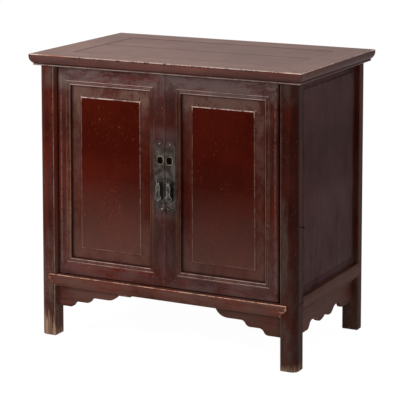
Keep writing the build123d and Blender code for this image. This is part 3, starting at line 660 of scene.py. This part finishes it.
def top_lines(coat):
    """The bead and arris: the arris rubbed, pale apart from its left end, where the orange ground shows,
    and the bead rubbed and lightened by a painted reflection. Dirt in the seams and nicks, and painted
    shadow in the quirk and on the shaded edges."""
    down = below_top(coat)
    lasting = coat.mottle(coat.grain, 1, (18, 4, 4), detail=5, rough=0.75, low=0.36, high=0.56)
    in_front = coat.step(coat.depth, -0.262, -0.268)
    # the bead's light line: rubbed, and partly a painted reflection of the pale floor
    bead = coat.product(
        coat.near(coat.height, thin_bead, 0.0017, 0.0006), coat.between(lasting, 0.12, 0.55),
        coat.between(in_front, 0.12, 1.0),
    )
    chipped = coat.mottle(coat.grain, 1, (40, 12, 12), detail=5, rough=0.75, low=0.36, high=0.5)
    forward = coat.step(coat.depth, 0.1, 0.0)
    arris = coat.product(
        top_rim(coat, 0.0026, 0.0016), coat.step(down, 0.0024, 0.0014),
        coat.between(chipped, 0.1, 0.75), coat.between(forward, 0.4, 1.0),
    )
    towards_left = coat.step(coat.across, -0.26, -0.36)
    arris_colour = coat.blend(towards_left, paint(214, 184, 172), paint(190, 112, 78))
    # the bead's pale colour is rubbing and a painted reflection
    pale = coat.blend(coat.step(coat.height, 0.86, 0.87), paint(182, 162, 152), arris_colour)

    notched = coat.mottle(coat.grain, 1, (80, 9, 9), detail=5, rough=0.8, low=0.53, high=0.57)
    nicks = coat.product(notched, top_rim(coat, 0.0045, 0.0025), coat.step(down, 0.007, 0.004), 0.95)
    # a painted shadow line in the quirk over the bead
    in_quirk = coat.product(coat.near(coat.height, quirk, 0.0018, 0.0006), 0.75)
    dirt_and_shade = coat.most(top_seams(coat), nicks, in_quirk, top_shadows(coat))
    return coat.most(bead, arris), dirt_and_shade, pale


def red_band(coat):
    """Red lacquer that is left in places under the arris, most of it on the right."""
    down = below_top(coat)
    band = coat.product(coat.step(down, 0.017, 0.009), coat.step(down, 0.001, 0.0022))
    places = coat.mottle(coat.place, 5, low=0.45, high=0.56)
    return coat.product(band, places, coat.between(coat.step(coat.across, -0.35, -0.1), 0.15, 0.55))


def top_film_and_light(coat):
    """The worn film and painted light from above: thick on the upper side, most towards the front left."""
    heights = coat.level([(0.0, 0.0), (0.85, 0.12), (0.876, 0.2), (0.8845, 0.25), (0.8855, 1.3)])
    leftwards = coat.step(coat.across, 0.5, -0.5)
    forward = coat.between(coat.step(coat.depth, 0.3, -0.25), 0.8, 1.0)
    return coat.product(heights, coat.scaled(leftwards, 0.16, forward))


top_lacquer = lacquer(
    "top_lacquer", deep=(64, 32, 29), warm=(86, 46, 42), film_and_reflection=(144, 116, 108),
    rubbed=(236, 212, 200), ground=(166, 98, 56), flecks=0.5, run=(8, 60, 60),
    rub=((0.0, 0.15), (0.868, 0.15), (0.878, 1.5)), film_and_reflection_share=top_film_and_light, patchy=0.3,
    kept=red_band, moulded=top_lines,
)
top_edges = {"arris": 0.002, "wander": 0.0005, "touch": 0.0009, "rounds": True}
for name in ["front_top_board", "back_top_board", "top_frame_front", "top_frame_back"]:
    dress(name, top_lacquer, "X", **top_edges)
for side in ("left", "right"):
    dress(f"{side}_top_frame_side", top_lacquer, "Y", **top_edges)


# ---------------------------------------------------------------------------
# Doors. Mitred frames with three reeds round a raised panel; the hinge stiles
# run on into wooden pivots. Glossy red panels, duller frames.
# ---------------------------------------------------------------------------
reed = 0.0051
door_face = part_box("right_door_top_rail")[0].y
panel_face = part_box("right_door_panel")[0].y
sight_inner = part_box("right_door_meeting_stile")[1].x  # the panel openings' edges
sight_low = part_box("right_door_bottom_rail")[1].z
sight_high, door_top = (corner.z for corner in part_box("right_door_top_rail"))
# The opening's hinge side leans with the leg; this is where it would meet the floor.
sight_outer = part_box("right_door_hinge_stile")[0].x + leg_lean * door_top


def beyond_sight(coat):
    """How far a place is outside a panel's opening: past the hinge side, sideways, and up or down."""
    hingewards = coat.scaled(coat.height, leg_lean, coat.minus(coat.from_middle, sight_outer))
    sideways = coat.most(coat.minus(sight_inner, coat.from_middle), hingewards)
    upwards = coat.most(coat.minus(sight_low, coat.height), coat.minus(coat.height, sight_high))
    return hingewards, sideways, upwards


def reeding(coat):
    """The crests of the three reeds, which run round each panel and meet in mitres: rubbed, and a painted
    highlight that is paler on the level runs, which face the light from above. Painted shade in their
    hollows, beside the panel and where the doors shut, and the meeting stiles darker low down and by the
    locks."""
    hingewards, sideways, upwards = beyond_sight(coat)
    out = coat.most(sideways, upwards)
    on_reeds = coat.product(
        coat.above(out, 0.0), coat.below(out, 3 * reed), coat.below(coat.depth, door_face + 0.0025)
    )
    off_crest = coat.size(coat.minus(coat.maths("FRACT", coat.maths("DIVIDE", out, reed)), 0.5))
    level_run = coat.step(coat.minus(upwards, sideways), -0.0004, 0.0004)
    high_up = coat.step(coat.height, 0.4, 0.6)

    innermost = coat.product(coat.below(out, reed), coat.step(hingewards, -0.001, 0.0))
    middle = coat.product(coat.above(out, reed), coat.below(out, 2 * reed))
    outermost = coat.above(out, 2 * reed)
    # the crest lines: rubbing, and a painted highlight, wider on the level runs, which face the light from
    # above
    crest = coat.product(
        on_reeds,
        coat.between(level_run, coat.step(off_crest, 0.2, 0.06), coat.step(off_crest, 0.36, 0.14)),
        coat.between(level_run, coat.between(innermost, 0.42, 0.75), coat.between(high_up, 0.72, 0.62)),
        coat.between(middle, 1.0, coat.between(level_run, coat.between(high_up, 0.8, 0.15), 0.12)),
        coat.between(outermost, 1.0, 0.75),
    )
    lasting = coat.mottle(coat.grain, 1, (16, 5, 5), detail=4, rough=0.7, low=0.38, high=0.56)
    crest = coat.product(crest, coat.between(lasting, 0.35, 1.0))

    # painted shade in the reeds' hollows, on the wall beside the panel and in the gap where the doors shut
    hollows = coat.product(on_reeds, coat.step(off_crest, 0.36, 0.47), coat.between(level_run, 0.75, 0.14))
    wall = coat.step(coat.depth, door_face + 0.0012, door_face + 0.003)
    beside_panel = coat.product(coat.below(coat.size(out), 0.0003), wall, 0.85)
    shut = coat.product(coat.step(from_return(coat), -0.0135, -0.0085), coat.between(coat.right, 0.3, 0.95))
    dusky = coat.product(
        coat.step(coat.from_middle, 0.0535, 0.0515), coat.step(coat.height, 0.81, 0.74), 0.23
    )
    darker_by_locks = coat.product(
        coat.step(coat.from_middle, 0.048, 0.036),
        coat.step(coat.height, 0.405, 0.44), coat.step(coat.height, 0.69, 0.65), 0.5,
    )
    dirt_and_shade = coat.most(hollows, beside_panel, shut, dusky, darker_by_locks)
    # the level runs' crests get the paler colour, a painted highlight
    return crest, dirt_and_shade, coat.blend(level_run, paint(172, 122, 82), paint(206, 172, 160))


def frame_film_and_reflection(coat):
    """Dull film and painted reflection along the bottom and top, and dull film where hands reach for the
    lock.
    """
    handled = coat.product(
        coat.step(coat.from_middle, 0.056, 0.04),
        coat.step(coat.height, 0.38, 0.44), coat.step(coat.height, 0.72, 0.65), 0.6,
    )
    heights = coat.level([(0.0, 0.6), (0.3, 0.4), (0.5, 0.12), (0.7, 0.1), (0.775, 0.3), (0.81, 1.2)])
    rightwards = coat.step(coat.across, -0.15, 0.15)
    return coat.most(coat.product(heights, coat.between(rightwards, 0.8, 1.1)), handled)


def off_field(coat):
    """The panel's border, outside its raised field."""
    return coat.step(coat.depth, panel_face + 0.0004, panel_face + 0.0025)


def panel_film_and_reflection(coat):
    """Dull film and painted reflection: on the field low down, on the border most at the bottom and top."""
    field = coat.level([(0.0, 0.8), (0.27, 0.75), (0.4, 0.38), (0.52, 0.04), (0.6, 0.0)])
    border = coat.level(
        [(0.0, 0.85), (0.3, 0.7), (0.5, 0.35), (0.65, 0.5), (0.73, 0.8), (0.76, 1.2), (0.8, 1.3)]
    )
    beside_seam = coat.product(
        coat.step(coat.from_middle, 0.1, 0.07),
        coat.step(coat.height, 0.34, 0.42), coat.step(coat.height, 0.76, 0.7), 0.7,
    )
    return coat.between(off_field(coat), field, coat.product(border, coat.minus(1.0, beside_seam)))


def panel_patches(coat):
    """The border's film and painted reflection are patchy, the more the higher up."""
    higher = coat.between(coat.step(coat.height, 0.3, 0.5), 0.4, 1.0)
    return coat.scaled(coat.product(off_field(coat), higher), 0.75, 0.1)


def panel_corners(coat):
    """Painted shade along the panel's edges, where the frame stands over it."""
    hingewards, sideways, upwards = beyond_sight(coat)
    dirt_and_shade = coat.product(coat.step(coat.most(sideways, upwards), -0.006, -0.0005), 0.6)
    return 0.0, dirt_and_shade, paint(0, 0, 0)


frame_lacquer = lacquer(
    "frame_lacquer", deep=(50, 12, 7), warm=(90, 30, 19), film_and_reflection=(102, 83, 81),
    rubbed=(140, 108, 94), ground=(160, 104, 76), rub=((0.0, 0.6), (1.0, 0.6)),
    film_and_reflection_share=frame_film_and_reflection, moulded=reeding,
)
panel_lacquer = lacquer(
    "panel_lacquer", deep=(58, 9, 2), warm=(72, 16, 5), film_and_reflection=(100, 74, 66),
    rubbed=(214, 186, 172), ground=(176, 112, 68), gloss=0.28, grained=0.15, flecks=0.5, run=(26, 40, 40),
    # the rubbed edges grow much brighter from the field's top edge up: rubbing, and partly a painted
    # highlight from the light above
    rub=((0.0, 0.18), (0.74, 0.22), (0.757, 1.5)), film_and_reflection_share=panel_film_and_reflection, patchy=panel_patches,
    moulded=panel_corners,
)
# A box on the meeting stiles behind the lock plates, painted dark as shade.
behind_lock = (Vector((-0.034, -0.2519, 0.44)), Vector((0.034, -0.235, 0.64)))
# The right door's pieces are darkened as painted shade, the light coming from the left; the meeting stiles
# are darker and the panels a little lighter.
for side, rail_shade, hinge_shade, meeting_shade, panel_shade in (
    ("left", 1.0, 1.0, 0.86, 1.04),
    ("right", 0.8, 0.72, 0.688, 0.832),
):
    dress(f"{side}_door_hinge_stile", frame_lacquer, "Z", hinge_shade)
    dress(f"{side}_door_meeting_stile", frame_lacquer, "Z", meeting_shade, shade_box=behind_lock)
    dress(f"{side}_door_top_rail", frame_lacquer, "X", rail_shade)
    dress(f"{side}_door_bottom_rail", frame_lacquer, "X", rail_shade)
    dress(f"{side}_door_panel", panel_lacquer, "Z", panel_shade, arris=0.0018)
    dress(f"{side}_door_battens", aged_wood, "X")


# ---------------------------------------------------------------------------
# Lock plates, nails, pull pins and pulls. Wrought iron sheet and wire, dark
# with a thin brown skin, brighter where fingers rub it. The nails are forged
# heads on round shanks, and the key windows have a rim of fine wire.
# ---------------------------------------------------------------------------
plate_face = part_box("right_lock_plate")[0].y
pull_low, pull_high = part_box("right_pull")
pull_middle = (pull_low.x + pull_high.x) / 2
# Places on a plate: from the middle, above the floor, and the radius of the dark there.
nail_holes = [(0.0175, 0.641, 0.0048), (0.024, 0.450, 0.0044), (0.010, 0.445, 0.0044)]
small_holes = [
    (0.0175, 0.6335, 0.0018),
    (0.021, 0.5775, 0.0013),
    (0.021, 0.5715, 0.0013),
    (0.0275, 0.5725, 0.0013),
    (0.0095, 0.5745, 0.0013),
]


def pierce(coat, colour, holes):
    """Painted dark round spots: the small holes, drawn as the shade inside them, and a ring round each
    nail: (from the middle, above the floor, radius).
    """
    on_plate = coat.add("ShaderNodeCombineXYZ", {0: coat.from_middle, 2: coat.height}).outputs[0]
    for across, up, radius in holes:
        away = coat.add("ShaderNodeVectorMath", {0: on_plate, 1: (across, 0, up)}, operation="DISTANCE")
        hole = coat.step(away.outputs["Value"], radius, radius * 0.75)
        colour = coat.blend(hole, colour, paint(14, 9, 8))
    return colour


def pull_shadow(coat):
    """A painted shadow round each pull, lying a little to its right."""
    drift = 0.0025  # it lies a little to the right of the pulls
    beside = coat.size(coat.minus(coat.size(coat.minus(coat.across, drift)), pull_middle))
    over_foot = coat.step(coat.height, 0.466, 0.478)
    under_pin = coat.step(coat.height, 0.536, 0.522)
    return coat.product(coat.step(beside, 0.0115, 0.0075), over_foot, under_pin, 0.9)


def iron(name, dark, bright, rubbed, holes=()):
    """Forged iron: cloudy grey, browned at the plates' ends and pitted; a plate has painted dark holes and
    painted shadow round the pulls.
    """
    coat = Finish(name)
    cloud = coat.mottle(coat.place, 60, detail=5)
    pits = coat.mottle(coat.place, 420, detail=2)
    plate_ends = coat.most(coat.step(coat.height, 0.612, 0.64), coat.step(coat.height, 0.47, 0.44))
    brown = coat.product(plate_ends, coat.mottle(coat.place, 45, low=0.3, high=0.6), 0.7)
    colour = coat.blend(cloud, paint(*dark), paint(*bright))
    colour = coat.blend(brown, colour, paint(60, 42, 40))
    colour = coat.blend(coat.product(coat.worn, 0.8), colour, paint(*rubbed))
    if holes:
        colour = pierce(coat, colour, holes)
        # painted shadow round each pull
        colour = coat.blend(pull_shadow(coat), colour, paint(17, 15, 14))
    bump = coat.maths("ADD", pits, cloud)
    return coat.done(colour, coat.scaled(cloud, 0.2, 0.38), bump, 0.4, 0.0003, Metallic=0.9)


plate_iron = iron("plate_iron", (42, 37, 34), (78, 69, 63), (92, 82, 75), nail_holes + small_holes)
pull_iron = iron("pull_iron", (38, 35, 33), (86, 81, 75), (232, 226, 216))
# The nail heads are a brighter iron: worn bright, and partly a painted highlight.
nail_iron = iron("nail_iron", (96, 89, 82), (172, 163, 152), (226, 220, 210))
rim_iron = iron("rim_iron", (74, 69, 61), (130, 121, 107), (200, 192, 180))
metal_edges = {"joint": 0, "wander": 0.0, "step": 0.01}
for side in ("left", "right"):
    dress(f"{side}_lock_plate", plate_iron, "Z", arris=0.0004, **metal_edges)
    for name in ("pull_pin", "pull"):
        dress(f"{side}_{name}", pull_iron, "Z", arris=0.0005, **metal_edges)


class Growth:
    """A geometry tree with named inputs, and short ways to add its nodes and to finish it."""

    def __init__(self, name, inputs):
        self.tree = bpy.data.node_groups.new(name, "GeometryNodeTree")
        self.tree.interface.new_socket("Geometry", in_out="INPUT", socket_type="NodeSocketGeometry")
        for title, kind in inputs:
            self.tree.interface.new_socket(title, in_out="INPUT", socket_type=kind)
        self.tree.interface.new_socket("Geometry", in_out="OUTPUT", socket_type="NodeSocketGeometry")
        self.given = self.add("NodeGroupInput").outputs

    def add(self, kind, inputs=None, **settings):
        return add_node(self.tree, kind, inputs, **settings)

    def finish(self, geometry, material):
        real = self.add("GeometryNodeRealizeInstances", {0: geometry})
        coated = self.add("GeometryNodeSetMaterial", {"Geometry": real.outputs[0], "Material": material})
        self.add("NodeGroupOutput", {0: coated.outputs[0]})
        return self.tree


def nail_head(forge):
    """A hammered, uneven dome with a flat back, one nail's size."""
    ball = forge.add("GeometryNodeMeshUVSphere", {"Segments": 16, "Rings": 10, "Radius": 1.0})
    place = forge.add("GeometryNodeInputPosition").outputs[0]
    dents = forge.add(
        "ShaderNodeTexNoise", {"Vector": place, "W": forge.given["Seed"], "Scale": 1.7},
        noise_dimensions="4D",
    )
    swell = forge.add("ShaderNodeMapRange", {"Value": dents.outputs["Fac"], "To Min": 0.86, "To Max": 1.14})
    swollen = forge.add("ShaderNodeVectorMath", {0: place, "Scale": swell.outputs[0]}, operation="SCALE")
    along, across, up = forge.add("ShaderNodeSeparateXYZ", {0: swollen.outputs[0]}).outputs
    flat = forge.add("ShaderNodeMath", {0: up, 1: -0.1}, operation="MAXIMUM").outputs[0]
    dome = forge.add("ShaderNodeCombineXYZ", {0: along, 1: across, 2: flat}).outputs[0]
    radius, height = forge.given["Head radius"], forge.given["Head height"]
    size = forge.add("ShaderNodeCombineXYZ", {0: radius, 1: radius, 2: height}).outputs[0]
    sized = forge.add("ShaderNodeVectorMath", {0: dome, 1: size}, operation="MULTIPLY").outputs[0]
    return forge.add("GeometryNodeSetPosition", {"Geometry": ball.outputs[0], "Position": sized})


def nail_shank(forge):
    """A round shank that runs back from the head."""
    length = forge.given["Shank"]
    rod = forge.add("GeometryNodeMeshCylinder", {"Vertices": 8, "Radius": 0.001, "Depth": length})
    drop = forge.add("ShaderNodeMath", {0: length, 1: -0.5}, operation="MULTIPLY").outputs[0]
    back = forge.add("ShaderNodeCombineXYZ", {2: drop}).outputs[0]
    return forge.add("GeometryNodeTransform", {"Geometry": rod.outputs[0], "Translation": back})


def nail_growth():
    """A nail at each point, each head a little larger or smaller."""
    sizes = [(title, "NodeSocketFloat") for title in ("Head radius", "Head height", "Shank")]
    forge = Growth("forged_nails", sizes + [("Seed", "NodeSocketInt")])
    nail = forge.add("GeometryNodeJoinGeometry", {0: nail_head(forge).outputs[0]})
    forge.tree.links.new(nail_shank(forge).outputs[0], nail.inputs[0])
    points = forge.add("GeometryNodeMeshToPoints", {0: forge.given["Geometry"]})
    smallest, largest = 0.92, 1.08
    scale = forge.add(
        "FunctionNodeRandomValue", {2: smallest, 3: largest, "Seed": forge.given["Seed"]}, data_type="FLOAT"
    )
    driven = forge.add("GeometryNodeInstanceOnPoints", {
        "Points": points.outputs[0], "Instance": nail.outputs[0],
        "Rotation": (math.radians(90), 0, 0), "Scale": scale.outputs[1],
    })
    return forge.finish(driven.outputs[0], nail_iron)


def rim_growth():
    """Round wire along a path."""
    rim = Growth("window_rims", [("Wire radius", "NodeSocketFloat")])
    path = rim.add("GeometryNodeMeshToCurve", {0: rim.given["Geometry"]})
    section = rim.add(
        "GeometryNodeCurvePrimitiveCircle", {"Resolution": 10, "Radius": rim.given["Wire radius"]}
    ).outputs[0]
    wire = rim.add("GeometryNodeCurveToMesh", {"Curve": path.outputs[0], "Profile Curve": section})
    return rim.finish(wire.outputs[0], rim_iron)


def grow(name, tree, places, links, settings, body):
    """Points or a path through a geometry tree, turned into a plain mesh that rides on a body."""
    seeds = bpy.data.meshes.new(name)
    seeds.from_pydata(places, links, [])
    piece = set_out(name, seeds)
    growth = piece.modifiers.new("growth", "NODES")
    growth.node_group = tree
    for socket in tree.interface.items_tree:
        if socket.in_out == "INPUT" and socket.name in settings:
            growth[socket.identifier] = settings[socket.name]
    settle(piece)
    shades = piece.data.attributes.new("shade", "FLOAT", "POINT")
    shades.data.foreach_set("value", [1.0] * len(piece.data.vertices))
    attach(piece, body)
    return piece


def window_path():
    """The key window's outline: a rounded oblong, as (from the middle, above the floor)."""
    middle_across, middle_up = 0.0153, 0.592
    half_across, half_up = 0.0105, 0.012
    radius = 0.008
    turns = 6
    path = []
    for corner, (right, up) in enumerate(((1, 1), (-1, 1), (-1, -1), (1, -1))):
        for turn in range(turns + 1):
            angle = math.radians(90 * corner + 90 * turn / turns)
            across = middle_across + right * (half_across - radius) + radius * math.cos(angle)
            path.append((across, middle_up + up * (half_up - radius) + radius * math.sin(angle)))
    return path


nail_tree = nail_growth()
rim_tree = rim_growth()
outline = window_path()
closed = [(i, (i + 1) % len(outline)) for i in range(len(outline))]
wire_radius = 0.0012
wire_back = 0.0009  # how much of the wire is sunk in the plate
for side, sign, seed in (("left", -1, 3), ("right", 1, 8)):
    sizes = {"Head radius": 0.0027, "Head height": 0.0018, "Shank": 0.012, "Seed": seed}
    heads = [(sign * across, plate_face, up) for across, up, ring in nail_holes]
    nails = grow(f"{side}_forged_nails", nail_tree, heads, [], sizes, f"{side}_door")
    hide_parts(f"{side}_lock_plate_nails")
    wire_line = plate_face - wire_radius + wire_back
    bends_at = [(sign * across, wire_line, up) for across, up in outline]
    wire = {"Wire radius": wire_radius}
    grow(f"{side}_window_rim", rim_tree, bends_at, closed, wire, f"{side}_door")


# ---------------------------------------------------------------------------
# The studio: a plain pale floor, soft light from the front left and above,
# and a camera at standing height, in front and to the right.
# ---------------------------------------------------------------------------
def brighter(tree, *values):
    """The largest of some values, as a node's output."""
    result = values[0]
    for value in values[1:]:
        result = add_node(tree, "ShaderNodeMath", {0: result, 1: value}, operation="MAXIMUM").outputs[0]
    return result


reach = 12.0
corners = [(-reach, -reach, 0), (reach, -reach, 0), (reach, reach, 0), (-reach, reach, 0)]
floor_mesh = bpy.data.meshes.new("studio_floor")
floor_mesh.from_pydata(corners, [], [(0, 1, 2, 3)])
floor = set_out("studio_floor", floor_mesh)
paper = bpy.data.materials.new("studio_floor_paper")
paper.use_nodes = True
tree = paper.node_tree
tree.nodes.clear()
rays = add_node(tree, "ShaderNodeLightPath").outputs
seen = brighter(tree, rays["Is Camera Ray"], rays["Is Glossy Ray"])
glowing = add_node(tree, "ShaderNodeMath", {0: seen, 1: 0.88}, operation="MULTIPLY").outputs[0]
matt = add_node(tree, "ShaderNodeBsdfDiffuse", {"Color": (0.85, 0.85, 0.85, 1)}).outputs[0]
glow = add_node(tree, "ShaderNodeEmission", {"Strength": 1.1}).outputs[0]
mixed = add_node(tree, "ShaderNodeMixShader", {0: glowing, 1: matt, 2: glow}).outputs[0]
add_node(tree, "ShaderNodeOutputMaterial", {0: mixed})
floor_mesh.materials.append(paper)

world = bpy.data.worlds.new("studio")
bpy.context.scene.world = world
world.use_nodes = True
tree = world.node_tree
rays = add_node(tree, "ShaderNodeLightPath").outputs
seen = brighter(tree, rays["Is Camera Ray"], rays["Is Glossy Ray"], rays["Is Transmission Ray"])
strength = add_node(tree, "ShaderNodeMapRange", {"Value": seen, "To Min": 0.36, "To Max": 1.0}).outputs[0]
tree.nodes["Background"].inputs["Color"].default_value = (1, 1, 1, 1)
tree.links.new(strength, tree.nodes["Background"].inputs["Strength"])


def lamp(name, place, aim, width, watts):
    """A square soft light that faces a point."""
    light = bpy.data.lights.new(name, "AREA")
    light.shape = "RECTANGLE"
    light.size = light.size_y = width
    light.energy = watts
    holder = set_out(name, light)
    holder.location = place
    holder.rotation_euler = (Vector(aim) - Vector(place)).to_track_quat("-Z", "Y").to_euler()


lamp("key_light", (-1.7, -2.1, 1.7), (-0.2, -0.2, 0.5), 1.2, 34)
lamp("fill_light", (2.6, -2.8, 1.3), (0.2, 0, 0.45), 1.6, 46)
lamp("top_light", (-0.5, 0.0, 3.0), (0, 0, 0.8), 2.0, 22)

looking_down = 12.83
turned_left = 26.91
camera = bpy.data.cameras.new("camera")
camera.lens = 153.8
camera.sensor_width = 36
viewer = set_out("camera", camera)
viewer.location = (2.3356, -4.6250, 1.6013)
viewer.rotation_euler = (math.radians(90 - looking_down), 0, math.radians(turned_left))
bpy.context.scene.camera = viewer
bpy.context.scene.view_settings.view_transform = "Standard"
